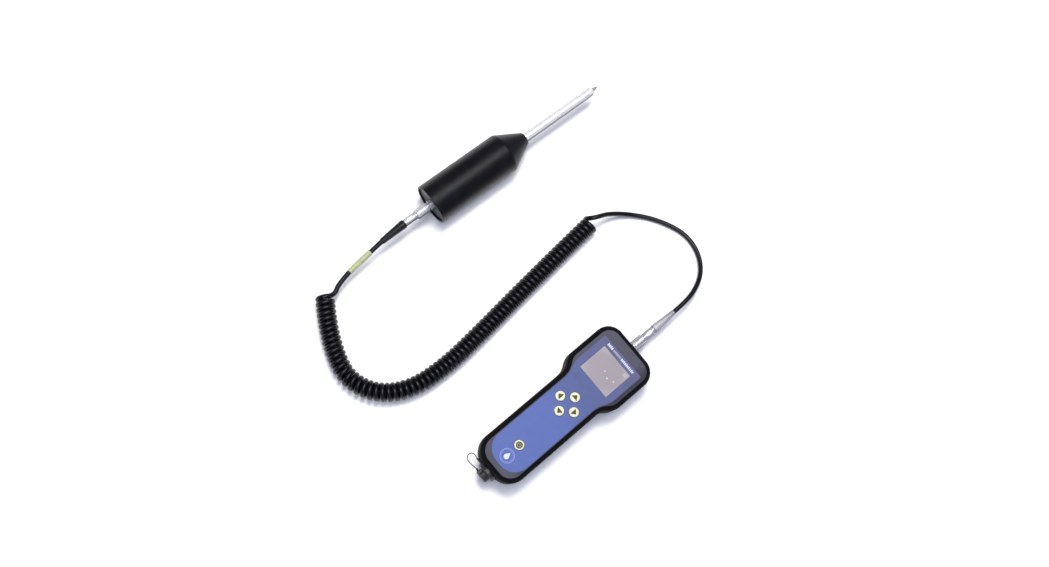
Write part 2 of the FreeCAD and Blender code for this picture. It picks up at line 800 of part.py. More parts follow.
def make_plug(prefix, place):
    """Push-pull plug without its bend relief; +Y leaves the panel."""
    shell = new_body(f"{prefix}_plug_shell", place)
    turn(shell, [
        (-7.9, 2.8), (-7.9, S.nose_radius - 0.3), (-7.5, S.nose_radius), (1.5, S.nose_radius),
        (1.5, S.core_radius), (S.nut_start - 0.1, S.core_radius), (S.nut_start - 0.1, 3.2),
        (S.nut_end - 1.0, 3.2), (S.nut_end - 1.0, 2.7), (10.0, 2.7), (10.0, 2.8),
    ])
    insert = new_body(f"{prefix}_plug_insert", place)
    turn(insert, [(-6.4, 0.0), (9.0, 0.0), (9.0, 2.75), (-6.4, 2.75)])
    holes = new_sketch(insert, "XZ_Plane", 6.4)
    draw_circle(holes, 2.0, 0.0, 0.4)
    repeat_round(insert, pocket(insert, holes, 3.0), 5)

    sleeve = new_body(f"{prefix}_plug_sleeve", place)
    bore = S.core_radius + 0.1
    turn(sleeve, [
        (S.sleeve_start, bore), (S.sleeve_start, S.sleeve_radius - 0.5),
        (S.sleeve_start + 0.5, S.sleeve_radius), (S.sleeve_end - 0.6, S.sleeve_radius),
        (S.sleeve_end, S.sleeve_radius - 0.6), (S.sleeve_end, bore),
    ])
    before = sleeve.Shape.Volume
    for start in (3.4, 5.5, 7.6, 9.7, 11.8):
        groove = new_sketch(sleeve, "XY_Plane")
        draw_box(groove, S.sleeve_radius - 0.35, S.sleeve_radius + 1, start, start + 0.8)
        cut = sleeve.newObject("PartDesign::Groove", f"{sleeve.Name}_groove")
        cut.Profile = groove
        cut.ReferenceAxis = (groove, ["V_Axis"])
        cut.Angle = 360
    doc.recompute()
    if sleeve.Shape.Volume >= before:
        raise RuntimeError("the sleeve's grooves cut nothing")

    nut = new_body(f"{prefix}_plug_nut", place)
    turn(nut, [
        (S.nut_start, 3.25), (S.nut_start, S.core_radius - 0.3), (S.nut_start + 0.4, S.core_radius),
        (S.nut_end - 0.6, S.core_radius), (S.nut_end, S.core_radius - 0.5), (S.nut_end, 3.25),
    ])
    flat = new_sketch(nut, "XY_Plane", S.core_radius + 1)
    draw_box(flat, -4.0, 4.0, S.nut_start + 3, S.nut_end - 4)
    flat_cut = pocket(nut, flat, 1.35)
    repeat_round(nut, flat_cut, 2)


def make_pins(places):
    """Contact pins of both plugs."""
    pins = []
    for place in places:
        for index in range(5):
            angle = math.radians(72 * index)
            pin = cylinder_y(0.35, -10.6, -3.5, 2.0 * math.cos(angle), -2.0 * math.sin(angle))
            pin.Placement = place
            pins.append(pin)
    new_shape("plug_pins", Part.makeCompound(pins))


def make_relief(label, place, end, thick, thin):
    """Tapered bend relief with a spigot in the nut; the cord leaves at its thin end."""
    body = new_body(label, place)
    turn(body, [
        (S.nut_end - 0.9, 0.0), (S.nut_end - 0.9, 2.6), (S.nut_end, 2.6), (S.nut_end, thick),
        (S.nut_end + 3, thick),
        (end - 1, thin), (end, thin - 0.3), (end, 0.0),
    ])


def make_tail_socket():
    """Tail receptacle with its collar, nut, insert, tethered cap and lug."""
    tail = (0.0, 0.0, S.socket_height)
    shell = new_body("tail_socket", tail)
    bore = S.tail_thread - 1.2
    turn(shell, [(-106.2, bore), (-106.2, S.tail_thread), (-85.6, S.tail_thread), (-85.6, bore)])
    insert = new_body("tail_socket_insert", tail)
    turn(insert, [(-99.0, 0.0), (-99.0, bore - 0.05), (-86.0, bore - 0.05), (-86.0, 0.0)])
    holes = new_sketch(insert, "XZ_Plane", 99.0)
    draw_circle(holes, 2.4, 0.0, 0.5)
    repeat_round(insert, pocket(insert, holes, 3.0), 6)
    nut = new_body("tail_socket_nut", tail)
    sketch = new_sketch(nut, "XZ_Plane", 90.1)
    draw_polygon(sketch, hexagon(8.0))
    draw_circle(sketch, 0.0, 0.0, S.tail_thread + S.running_gap)
    pad(nut, sketch, 2.4)
    collar = new_body("tail_collar", tail)
    outer = S.tail_collar_radius
    turn(collar, [
        (-98.15, S.tail_thread + S.running_gap), (-98.15, outer - 0.4), (-98.55, outer),
        (-101.6, outer), (-102.3, outer - 0.7), (-102.3, S.tail_thread + S.running_gap),
    ])
    notch = new_sketch(collar, "XY_Plane", outer + 1)
    draw_box(notch, -0.9, 0.9, -103.0, -98.9)
    notch_cut = pocket(collar, notch, 1.5)
    repeat_round(collar, notch_cut, 4)

    cap = new_body("dust_cap", tail)
    inner = S.tail_thread + 0.1
    turn(cap, [
        (-102.6, inner), (-106.4, inner), (-106.4, 0.0), (-108.2, 0.0), (-108.2, S.cap_radius - 0.8),
        (-107.4, S.cap_radius), (-103.0, S.cap_radius), (-102.6, S.cap_radius - 0.4),
    ])
    stub = new_sketch(cap, "YZ_Plane", -9.0)
    draw_circle(stub, -105.6, 0.0, 1.0)
    pad(cap, stub, 2.6)
    rib = new_sketch(cap, "XY_Plane", S.cap_radius + 1)
    draw_box(rib, -0.4, 0.4, -107.0, -103.4)
    rib_cut = pocket(cap, rib, 1.35)
    repeat_round(cap, rib_cut, 24)

    clear = float(S.tail_thread) + 0.1
    ring = cylinder_y(9.6, -98.05, -97.6).cut(cylinder_y(clear, -99.0, -97.0))
    ferrule = Part.makeCylinder(1.05, 8.2, Vector(-8.6, -98.6, 0), Vector(-1, 0, 0))
    lug = ring.fuse(ferrule.cut(cylinder_y(10.9, -100.0, -98.05))).removeSplitter()
    new_shape("tether_lug", lug, Placement(Vector(0, 0, S.socket_height), Rotation()))


# ---------------------------------------------------------------- cords

def smooth_path(points):
    """Straight runs joined by tangent arcs as large as the runs allow."""
    corners = [Vector(*point) for point in points]
    edges = []
    radii = []
    start = corners[0]
    for before, corner, after in zip(corners, corners[1:], corners[2:]):
        inwards = (corner - before).normalize()
        outwards = (after - corner).normalize()
        half_turn = inwards.getAngle(outwards) / 2
        setback = 0.45 * min((corner - before).Length, (after - corner).Length)
        radius = setback / math.tan(half_turn)
        towards_centre = (outwards - inwards).normalize()
        middle = corner + towards_centre * (radius / math.cos(half_turn) - radius)
        arc_start = corner - inwards * setback
        arc_end = corner + outwards * setback
        edges.append(Part.LineSegment(start, arc_start).toShape())
        edges.append(Part.Arc(arc_start, middle, arc_end).toShape())
        radii.append(radius)
        start = arc_end
    edges.append(Part.LineSegment(start, corners[-1]).toShape())
    return edges, radii


def sweep_round(edges, radius):
    """A solid round bar along connected edges."""
    wire = Part.Wire(edges)
    first = edges[0]
    start = first.valueAt(first.FirstParameter)
    heading = first.tangentAt(first.FirstParameter)
    ring = Part.Wire(Part.Circle(start, heading, float(radius)).toShape())
    return wire.makePipeShell([ring], True, False)


def make_cord(label, points, radius):
    """One cord solid, with its radii and its volume against section times length printed."""
    edges, radii = smooth_path(points)
    solid = sweep_round(edges, radius)
    length = sum(edge.Length for edge in edges)
    expected = math.pi * float(radius) ** 2 * length
    listed = ", ".join(f"{value:.1f}" for value in radii)
    print(f"{label}: length {length:.1f}, volume ratio {solid.Volume / expected:.4f}, radii {listed}")
    new_shape(label, solid)
    return edges


def make_lead():
    """The two straight leads, the coiled stretch between them and the cable marker."""
    make_cord("lead_meter_end", METER_LEAD, S.cord_radius)
    make_cord("curly_cord", COIL, S.coil_radius)
    edges = make_cord("lead_probe_end", PROBE_LEAD, S.cord_radius)
    marked = edges[1:4]
    outer = sweep_round(marked, float(S.cord_radius) + 0.6)
    inner = sweep_round(marked, float(S.cord_radius) + 0.05)
    new_shape("cable_marker", outer.cut(inner))
    make_cord("cap_tether", TETHER, S.wire_radius)


def make_inner_wires():
    """Three wires from each of the case's sockets to its circuit board."""
    wires = []
    height = float(S.socket_height)
    socket_rear = float(S.case_display_end - S.socket_depth)
    for x in (-1.4, 0.0, 1.4):
        top = [(x, socket_rear, height), (x, 78.8, height), (x * 1.4, 74.2, 18.2)]
        tail = [(x, -86, height), (x, -79.5, height), (x, -71.5, 21.4), (x * 1.4, -64.2, 21.4)]
        for points in (top, tail):
            edges, _ = smooth_path(points)
            wires.append(sweep_round(edges, 0.45))
    new_shape("socket_wires", Part.makeCompound(wires))


# ---------------------------------------------------------------- probe

def make_probe(place):
    """Rod probe: housing, end cap, board, rod, insulator and tip; +Y points to the tip."""
    housing = new_body("probe_housing", place)
    rim = S.probe_radius - S.probe_rim
    cavity_end = S.probe_length - 1.0
    turn(housing, [
        (0.0, rim), (0.0, S.probe_radius - 0.8), (0.8, S.probe_radius), (S.probe_length, S.probe_radius),
        (S.probe_nose_end, S.probe_nose_radius), (S.probe_nose_end, S.rod_radius + S.running_gap),
        (cavity_end, S.rod_radius + S.running_gap), (cavity_end, rim - 1.0),
        (S.probe_recess + 4.0, rim - 1.0), (S.probe_recess + 4.0, rim),
    ])
    cap = new_body("probe_end_cap", place)
    recess = S.probe_recess
    turn(cap, [
        (recess, S.panel_thread + 0.1), (recess, rim - 0.05), (recess + 3.95, rim - 0.05),
        (recess + 3.95, rim - 1.2), (recess + 7.0, rim - 1.2), (recess + 7.0, rim - 3.0),
        (recess + 2.5, rim - 3.0), (recess + 2.5, S.panel_thread + 0.1),
    ])
    rod = new_body("probe_rod", place)
    turn(rod, [
        (cavity_end - 5.0, 3.2), (cavity_end - 5.0, 9.0), (cavity_end - 0.1, 9.0),
        (cavity_end - 0.1, S.rod_radius), (S.rod_end - 2.0, S.rod_radius),
        (S.rod_end, S.rod_radius - 1.3), (S.rod_end, 3.2),
    ])
    insulator = new_body("probe_insulator", place)
    turn(insulator, [
        (S.rod_end - 24, 1.25), (S.rod_end - 24, 3.15), (S.rod_end + 0.02, 3.15), (S.rod_end + 0.02, 3.3),
        (S.rod_end + 0.6, 3.3), (S.rod_end + 0.6, 1.25),
    ])
    tip = new_body("probe_tip", place)
    turn(tip, [
        (S.rod_end - 28, 0.0), (S.rod_end - 28, 1.2), (S.rod_end + 0.65, 1.2), (S.rod_end + 0.65, 3.0),
        (S.tip_end - 1.6, 1.1), (S.tip_end - 0.5, 0.65), (S.tip_end, 0.0),
    ])
    board = new_body("probe_board", place)
    sketch = new_sketch(board, "XY_Plane", -0.8)
    draw_box(sketch, -13.0, 13.0, 24.0, 82.0)
    pad(board, sketch, 1.6)


def check_and_write():
    """Stop on any failed object, then write each sub-part to its own file."""
    doc.recompute()
    for thing in doc.Objects:
        if {"Invalid", "Error"} & set(thing.State):
            raise RuntimeError(f"{thing.Label} is {thing.State}")
    for part in sub_parts:
        shape = part.Shape
        if shape.isNull() or not shape.isValid() or not shape.Solids:
            raise RuntimeError(f"{part.Label} has no valid solid")
    os.makedirs("parts", exist_ok=True)
    for part in sub_parts:
        part.Shape.exportStep(f"parts/{part.Label}.step")
    print(f"{len(sub_parts)} sub-parts written")


def main():
    """Build every sub-part and write the files."""
    make_bumper()
    make_rear_shell()
    make_front_shell()
    make_gasket()
    make_overlay()
    make_display()
    make_keys()
    make_board()
    make_case_screws()
    make_lamp()
    make_battery_bay()

    upright = Vector(0, 0, 1)
    meter_panel = Placement(Vector(0, S.case_display_end, S.socket_height), Rotation())
    yaw = float(S.probe_yaw)
    probe_place = Placement(Vector(*PROBE_REAR, S.probe_radius), Rotation(upright, -yaw))
    probe_panel = Placement(probe_place.multVec(Vector(0, -1, 0)), Rotation(upright, 180 - yaw))
    make_panel_socket("top", meter_panel, S.flange_radius, 0.0, 5.0)
    make_panel_socket("probe", probe_panel, 5.7, S.probe_recess + 1.0, 2.5)
    make_plug("meter", meter_panel)
    make_plug("probe", probe_panel)
    make_pins([meter_panel, probe_panel])
    make_relief("meter_plug_relief", meter_panel, S.relief_end, 4.5, S.cord_radius + 0.3)
    # the soft boot sags a little under the lead
    sag = Rotation(upright, 2.5) * Rotation(Vector(1, 0, 0), -4)
    boot_place = probe_panel * Placement(Vector(0, 0.35, 0), sag, Vector(0, S.nut_end, 0))
    make_relief("probe_plug_boot", boot_place, S.boot_end, 4.9, S.cord_radius + 0.7)
    make_tail_socket()
    make_lead()
    make_inner_wires()
    make_probe(probe_place)
    check_and_write()


main()
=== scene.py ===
import math

import bmesh
import bpy
import numpy as np
from mathutils import Matrix, Vector


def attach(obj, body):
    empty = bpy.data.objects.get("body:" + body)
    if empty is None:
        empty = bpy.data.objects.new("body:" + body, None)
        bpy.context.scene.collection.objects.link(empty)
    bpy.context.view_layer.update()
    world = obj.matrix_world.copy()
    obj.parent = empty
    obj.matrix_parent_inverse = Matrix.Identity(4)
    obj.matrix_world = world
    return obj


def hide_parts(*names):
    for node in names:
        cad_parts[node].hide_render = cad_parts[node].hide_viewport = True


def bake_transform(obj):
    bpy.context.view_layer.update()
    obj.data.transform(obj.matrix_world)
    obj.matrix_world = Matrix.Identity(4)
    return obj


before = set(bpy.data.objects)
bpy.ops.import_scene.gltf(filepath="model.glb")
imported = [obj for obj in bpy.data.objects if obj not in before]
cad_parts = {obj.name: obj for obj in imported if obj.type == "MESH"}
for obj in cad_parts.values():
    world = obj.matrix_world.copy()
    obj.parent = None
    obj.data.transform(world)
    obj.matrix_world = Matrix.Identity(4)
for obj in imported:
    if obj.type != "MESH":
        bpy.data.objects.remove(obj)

MM = 0.001
TAU = 2 * math.pi
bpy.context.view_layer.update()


# ---------------------------------------------------------------- camera and light

def aim(thing, target, up):
    """Turn a camera or light so that it looks at a point with a given direction upwards."""
    back = (thing.location - Vector(target)).normalized()
    right = Vector(up).cross(back).normalized()
    turned = Matrix((right, back.cross(right), back)).transposed()
    thing.rotation_euler = turned.to_euler()


camera = bpy.data.objects.new("camera", bpy.data.cameras.new("camera"))
bpy.context.collection.objects.link(camera)
camera.data.sensor_width = 36
camera.data.lens = 34.7
camera.location = (-0.0363, -0.1899, 1.035)
aim(camera, (-0.124, 0.0576, 0), (-0.7627, 0.6468, 0))
bpy.context.scene.camera = camera
bpy.context.scene.view_settings.view_transform = "Standard"


def area_light(name, place, target, size, power, colour):
    """A soft rectangular light, size across and along, that faces a point."""
    light = bpy.data.lights.new(name, "AREA")
    light.shape = "RECTANGLE"
    light.size, light.size_y = size
    light.energy = power
    light.color = colour
    holder = bpy.data.objects.new(name, light)
    bpy.context.collection.objects.link(holder)
    holder.location = place
    aim(holder, target, (0, 1, 0))
    return holder


area_light("overhead_light", (-0.19, 0.2, 1.55), (-0.19, 0.2, 0), (0.8, 1.9), 18,
           (0.95, 0.965, 1.0))
window = area_light("window_light", (-0.6, 0.36, 1.47), (-0.12, 0.05, 0), (0.58, 0.58), 25,
                    (1.0, 0.96, 0.9))
window.visible_glossy = False
area_light("fill_light", (0.8, -0.5, 1.3), (-0.12, 0.05, 0), (1.2, 1.2), 4, (0.7, 0.77, 1.0))

world = bpy.data.worlds.new("studio")
bpy.context.scene.world = world
world.use_nodes = True
world.node_tree.nodes["Background"].inputs["Color"].default_value = (0.52, 0.58, 1.0, 1)
world.node_tree.nodes["Background"].inputs["Strength"].default_value = 0.165


# ---------------------------------------------------------------- materials

class Nodes:
    """A material's node tree, with short calls for the nodes used here."""

    def __init__(self, name):
        self.material = bpy.data.materials.new(name)
        self.material.use_nodes = True
        self.tree = self.material.node_tree
        self.shader = self.tree.nodes["Principled BSDF"]
        self.place = self.tree.nodes.new("ShaderNodeTexCoord").outputs["Object"]

    def link(self, source, target):
        self.tree.links.new(source, target)

    def noise(self, scale, detail=4.0, stretch=None):
        """A noise's factor, scale in features per metre, stretched along an axis if asked."""
        texture = self.tree.nodes.new("ShaderNodeTexNoise")
        texture.inputs["Scale"].default_value = scale
        texture.inputs["Detail"].default_value = detail
        if stretch is None:
            self.link(self.place, texture.inputs["Vector"])
        else:
            mapping = self.tree.nodes.new("ShaderNodeMapping")
            mapping.inputs["Scale"].default_value = stretch
            self.link(self.place, mapping.inputs["Vector"])
            self.link(mapping.outputs["Vector"], texture.inputs["Vector"])
        return texture.outputs["Fac"]

    def ramp(self, factor, stops):
        """A colour ramp: stops are (position, colour or grey)."""
        node = self.tree.nodes.new("ShaderNodeValToRGB")
        elements = node.color_ramp.elements
        while len(elements) < len(stops):
            elements.new(0.5)
        for element, (position, colour) in zip(elements, stops):
            element.position = position
            if isinstance(colour, (int, float)):
                colour = (colour, colour, colour)
            element.color = (*colour, 1)
        self.link(factor, node.inputs["Fac"])
        return node.outputs["Color"]

    def mix(self, factor, first, second):
        """Mix two colours, each a socket or a plain colour."""
        node = self.tree.nodes.new("ShaderNodeMix")
        node.data_type = "RGBA"
        for name, value in (("Factor", factor), ("A", first), ("B", second)):
            socket = next(s for s in node.inputs if s.name == name and s.enabled)
            if isinstance(value, bpy.types.NodeSocket):
                self.link(value, socket)
            else:
                socket.default_value = value if isinstance(value, float) else (*value, 1)
        return next(s for s in node.outputs if s.enabled)

    def bump(self, height, strength, distance):
        """Bump from a height socket, added over any bump already there."""
        node = self.tree.nodes.new("ShaderNodeBump")
        node.inputs["Strength"].default_value = strength
        node.inputs["Distance"].default_value = distance
        self.link(height, node.inputs["Height"])
        target = self.shader.inputs["Normal"]
        if target.is_linked:
            self.link(target.links[0].from_socket, node.inputs["Normal"])
        self.link(node.outputs["Normal"], target)

    def underside(self, tone, shade_heights, painted_shade):
        """Paint shade onto a tone towards the underside of a piece: the shade colour below a band of
        height in metres, the tone above it.
        """
        split = self.tree.nodes.new("ShaderNodeSeparateXYZ")
        self.link(self.place, split.inputs["Vector"])
        shade_mask = self.tree.nodes.new("ShaderNodeMapRange")
        shade_mask.inputs["From Min"].default_value, shade_mask.inputs["From Max"].default_value = shade_heights
        self.link(split.outputs["Z"], shade_mask.inputs["Value"])
        return self.mix(shade_mask.outputs["Result"], painted_shade, tone)


def darker(colour, factor):
    """A colour multiplied by a factor."""
    return tuple(channel * factor for channel in colour)


def finish(name, colour, rough, metal=0.0, grain=(2500, 0.15, 0.00003), spread=0.12, coat=0.0,
           specular=0.5, wear=None, shade_heights=None):
    """A moulded, painted or plated surface: mottled colour, uneven gloss and a fine grain.

    wear is a colour for its worn edges; the band of height given last, in metres, is where painted
    shade darkens its underside to a fifth of its colour.
    """
    nodes = Nodes(name)
    shader = nodes.shader
    shader.inputs["Metallic"].default_value = metal
    shader.inputs["Specular IOR Level"].default_value = specular
    shader.inputs["Coat Weight"].default_value = coat
    shader.inputs["Coat Roughness"].default_value = 0.12
    broad = nodes.noise(45, 5.0)
    tone = nodes.ramp(broad, [(0.3, darker(colour, 1 - spread)), (0.7, darker(colour, 1 + spread))])
    if wear is not None:
        pointiness = nodes.tree.nodes.new("ShaderNodeNewGeometry").outputs["Pointiness"]
        edge = nodes.ramp(pointiness, [(0.52, 0.0), (0.6, 1.0)])
        tone = nodes.mix(edge, tone, wear)
    # painted shade: below the given band of height the colour darkens to a fifth
    if shade_heights is not None:
        tone = nodes.underside(tone, shade_heights, darker(colour, 0.2))
    nodes.link(tone, shader.inputs["Base Color"])
    smudge = nodes.noise(90, 6.0)
    nodes.link(nodes.ramp(smudge, [(0.3, rough * 0.85), (0.7, min(1.0, rough * 1.18))]),
               shader.inputs["Roughness"])
    scale, strength, distance = grain
    nodes.bump(nodes.noise(scale, 2.0), strength, distance)
    return nodes.material


def brushed(name, colour, rough, stretch, shade_heights, painted_shade, metal=1.0):
    """Turned or plated metal with fine tool marks along a direction, and painted shade darkening its
    underside.

    metal below 1 makes it a blasted surface, which scatters the rest of the light.
    """
    nodes = Nodes(name)
    shader = nodes.shader
    shader.inputs["Metallic"].default_value = metal
    shader.inputs["Specular IOR Level"].default_value = 0.1
    shader.inputs["Specular Tint"].default_value = (0.12, 0.12, 0.14, 1)
    marks = nodes.noise(900, 3.0, stretch)
    tone = nodes.ramp(marks, [(0.3, darker(colour, 0.86)), (0.7, colour)])
    # painted shade, standing in for dark surroundings reflected low on the metal: below the band of
    # height the colour falls to the given share
    nodes.link(nodes.underside(tone, shade_heights, darker(colour, painted_shade)), shader.inputs["Base Color"])
    nodes.link(nodes.ramp(marks, [(0.25, rough * 0.7), (0.75, rough * 1.5)]),
               shader.inputs["Roughness"])
    nodes.bump(marks, 0.12, 0.00002)
    return nodes.material


def overlay_material():
    """Blue printed film, bluer down the grip and violet-grey at the display, with a matte grain."""
    nodes = Nodes("overlay_film")
    shader = nodes.shader
    split = nodes.tree.nodes.new("ShaderNodeSeparateXYZ")
    nodes.link(nodes.place, split.inputs["Vector"])
    along = nodes.tree.nodes.new("ShaderNodeMapRange")
    along.inputs["From Min"].default_value = -0.09
    along.inputs["From Max"].default_value = 0.075
    nodes.link(split.outputs["Y"], along.inputs["Value"])
    colours = nodes.ramp(along.outputs["Result"], [
        (0.0, (0.075, 0.112, 0.32)), (0.45, (0.074, 0.11, 0.32)), (0.65, (0.062, 0.083, 0.21)),
        (0.8, (0.069, 0.081, 0.18)), (1.0, (0.077, 0.075, 0.145)),
    ])
    mottle = nodes.ramp(nodes.noise(60, 5.0), [(0.3, 0.0), (0.7, 0.35)])
    tone = nodes.mix(mottle, colours, (0.078, 0.105, 0.28))
    nodes.link(tone, shader.inputs["Base Color"])
    nodes.link(nodes.ramp(nodes.noise(150, 6.0), [(0.3, 0.36), (0.7, 0.46)]),
               shader.inputs["Roughness"])
    shader.inputs["Specular IOR Level"].default_value = 0.25
    nodes.bump(nodes.noise(5200, 2.0), 0.12, 0.00003)
    return nodes.material


def face_material():
    """Charcoal moulded face with a slight violet cast, and painted shade darkening it along the
    right-hand edge.
    """
    nodes = Nodes("face_plastic")
    shader = nodes.shader
    split = nodes.tree.nodes.new("ShaderNodeSeparateXYZ")
    nodes.link(nodes.place, split.inputs["Vector"])
    across = nodes.tree.nodes.new("ShaderNodeMapRange")
    across.inputs["From Min"].default_value = -0.03
    across.inputs["From Max"].default_value = 0.032
    nodes.link(split.outputs["X"], across.inputs["Value"])
    # painted shade: the colour darkens across the face towards its right-hand edge
    colours = nodes.ramp(across.outputs["Result"], [
        (0.0, (0.058, 0.057, 0.082)), (0.75, (0.058, 0.057, 0.082)), (0.95, (0.02, 0.02, 0.03)),
    ])
    mottle = nodes.ramp(nodes.noise(70, 5.0), [(0.3, 0.0), (0.7, 0.3)])
    nodes.link(nodes.mix(mottle, colours, (0.048, 0.048, 0.06)), shader.inputs["Base Color"])
    nodes.link(nodes.ramp(nodes.noise(120, 6.0), [(0.3, 0.45), (0.7, 0.58)]),
               shader.inputs["Roughness"])
    shader.inputs["Specular IOR Level"].default_value = 0.3
    nodes.bump(nodes.noise(4200, 2.0), 0.32, 0.00005)
    return nodes.material


def display_material():
    """Grey-mauve liquid-crystal panel under clear glass, paler towards its corners."""
    nodes = Nodes("display_face")
    shader = nodes.shader
    split = nodes.tree.nodes.new("ShaderNodeMapping")
    split.inputs["Location"].default_value = (0, -2.4, 0)
    split.inputs["Scale"].default_value = (40, 43.5, 0)
    nodes.link(nodes.place, split.inputs["Vector"])
    length = nodes.tree.nodes.new("ShaderNodeVectorMath")
    length.operation = "LENGTH"
    nodes.link(split.outputs["Vector"], length.inputs[0])
    spread = nodes.ramp(length.outputs["Value"], [
        (0.25, (0.22, 0.195, 0.22)), (0.7, (0.22, 0.197, 0.218)), (1.0, (0.262, 0.25, 0.275)),
    ])
    mottle = nodes.ramp(nodes.noise(35, 4.0), [(0.3, 0.0), (0.7, 0.25)])
    nodes.link(nodes.mix(mottle, spread, (0.25, 0.22, 0.245)), shader.inputs["Base Color"])
    shader.inputs["Specular IOR Level"].default_value = 0.3
    shader.inputs["Coat Weight"].default_value = 0.25
    shader.inputs["Coat Roughness"].default_value = 0.06
    nodes.link(nodes.ramp(nodes.noise(200, 3.0), [(0.3, 0.3), (0.7, 0.4)]),
               shader.inputs["Roughness"])
    nodes.bump(nodes.noise(30, 1.0), 0.05, 0.0001)
    return nodes.material


def translucent(name, colour, weight, rough, shade_heights=None):
    """A tinted plastic that lets some light through."""
    material = finish(name, colour, rough, grain=(1800, 0.1, 0.00003), coat=0.2, shade_heights=shade_heights)
    shader = material.node_tree.nodes["Principled BSDF"]
    shader.inputs["Subsurface Weight"].default_value = weight
    shader.inputs["Subsurface Radius"].default_value = (0.004, 0.004, 0.003)
    shader.inputs["Subsurface Scale"].default_value = 0.4
    return material


M = {
    "bumper": finish("bumper_rubber", (0.0035, 0.0035, 0.0045), 0.72, grain=(3200, 0.25, 0.00004),
                     spread=0.25, specular=0.12),
    "case": finish("case_plastic", (0.008, 0.008, 0.01), 0.55, grain=(3800, 0.35, 0.00005)),
    "face": face_material(),
    "overlay": overlay_material(),
    "display": display_material(),
    "key": finish("key_silicone", (0.6, 0.615, 0.42), 0.5, grain=(2400, 0.08, 0.00003),
                  spread=0.04),
    "print_key": finish("key_print", (0.5, 0.5, 0.36), 0.5, spread=0.05),
    "print_dark": finish("olive_print", (0.07, 0.062, 0.03), 0.5, spread=0.15, specular=0.25),
    "print_pale": finish("pale_print", (0.5, 0.56, 0.8), 0.45, spread=0.05),
    "print_ring": finish("ring_print", (0.27, 0.33, 0.58), 0.45, spread=0.05),
    "print_warm": finish("warm_print", (0.33, 0.33, 0.31), 0.45, spread=0.05),
    "segment": finish("lit_segment", (0.62, 0.61, 0.6), 0.35, spread=0.05),
    "segment_soft": finish("soft_segment", (0.3, 0.28, 0.29), 0.35, spread=0.08),
    # metal, metal_high, rod and tip end with a band of height in metres and a share of their colour:
    # painted shade below that band; metal_high repeats the satin chrome with its painted shade set
    # for the higher probe plug
    "metal": brushed("satin_chrome", (0.84, 0.84, 0.87), 0.38, (1, 0.06, 1), (0.0173, 0.0192),
                     0.12, 0.85),
    "metal_high": brushed("satin_chrome_high", (0.84, 0.84, 0.87), 0.38, (1, 0.06, 1),
                          (0.0242, 0.0258), 0.15, 0.7),
    "rod": brushed("turned_steel", (0.95, 0.95, 0.97), 0.42, (0.05, 1, 0.05), (0.0246, 0.0257),
                   0.25, 0.6),
    "tip": brushed("hard_tip", (0.75, 0.75, 0.77), 0.3, (1, 0.3, 1), (0.0205, 0.0226), 0.25, 0.8),
    "collar": finish("collar_coating", (0.02, 0.02, 0.023), 0.34, grain=(3000, 0.1, 0.00002),
                     specular=0.6),
    "cap": finish("cap_plastic", (0.008, 0.008, 0.009), 0.45, wear=(0.1, 0.1, 0.1)),
    "wire": finish("tether_strand", (0.06, 0.058, 0.056), 0.45, metal=0.5,
                   grain=(5000, 0.2, 0.00003)),
    "cord": finish("cord_jacket", (0.0028, 0.0028, 0.0038), 0.3, grain=(1500, 0.12, 0.00003),
                   spread=0.3, specular=0.42),
    "boot": finish("boot_rubber", (0.0045, 0.0045, 0.0055), 0.42, grain=(2200, 0.2, 0.00003)),
    # the relief's last pair is the band of height below which painted shade darkens it
    "relief": translucent("clear_grey_relief", (0.4, 0.4, 0.43), 0.04, 0.24, (0.0172, 0.0204)),
    "marker": translucent("yellow_marker", (0.38, 0.41, 0.235), 0.3, 0.25),
    "probe": finish("probe_plastic", (0.0035, 0.0035, 0.004), 0.37, grain=(2600, 0.12, 0.00003),
                    spread=0.2, specular=0.27),
    "end_cap": finish("end_cap_plastic", (0.04, 0.038, 0.044), 0.5, spread=0.12),
    "insulator": finish("insulator_plastic", (0.72, 0.71, 0.68), 0.4, spread=0.04),
    "screw": finish("zinc_screw", (0.42, 0.42, 0.43), 0.32, metal=1.0),
    "lamp": translucent("lamp_lens", (0.05, 0.05, 0.055), 0.1, 0.2),
    "inner": finish("inner_plastic", (0.05, 0.05, 0.05), 0.5),
    "white_inner": finish("inner_white", (0.7, 0.7, 0.68), 0.5),
    "gold": finish("gold_contact", (0.75, 0.53, 0.2), 0.25, metal=1.0),
    "cell": finish("cell_jacket", (0.05, 0.055, 0.06), 0.3, coat=0.4),
    "pcb": finish("solder_mask", (0.02, 0.14, 0.05), 0.35, coat=0.3),
    "insulation": finish("wire_insulation", (0.4, 0.05, 0.04), 0.4),
}

CAD_FINISHES = {
    "bumper": ["rubber_bumper", "case_gasket"],
    "case": ["rear_shell", "battery_door"],
    "face": ["front_shell"],
    "overlay": ["face_overlay"],
    "display": ["display_window", "display_glass"],
    "metal": ["top_socket", "top_socket_nut", "meter_plug_shell", "meter_plug_nut"],
    "metal_high": ["probe_socket", "probe_socket_nut", "probe_plug_shell", "probe_plug_nut"],
    "collar": ["tail_socket", "tail_socket_nut", "tether_lug"],
    "cap": ["dust_cap"],
    "end_cap": ["probe_end_cap"],
    "insulator": ["probe_insulator", "meter_plug_insert", "probe_plug_insert", "top_socket_insert",
                  "probe_socket_insert"],
    "inner": ["tail_socket_insert", "key_switches", "board_chips", "sounder", "battery_tray"],
    "white_inner": ["display_frame", "display_backlight"],
    "pcb": ["main_board", "probe_board"],
    "screw": ["case_screws", "board_screws", "battery_contacts"],
    "gold": ["plug_pins"],
    "cell": ["battery_cells"],
    "insulation": ["socket_wires"],
    "lamp": ["status_lamp"],
}
for finish_name, node_names in CAD_FINISHES.items():
    for node_name in node_names:
        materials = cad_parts[node_name].data.materials
        if not materials:
            materials.append(M[finish_name])
        for index in range(len(materials)):
            materials[index] = M[finish_name]


# ---------------------------------------------------------------- free cords

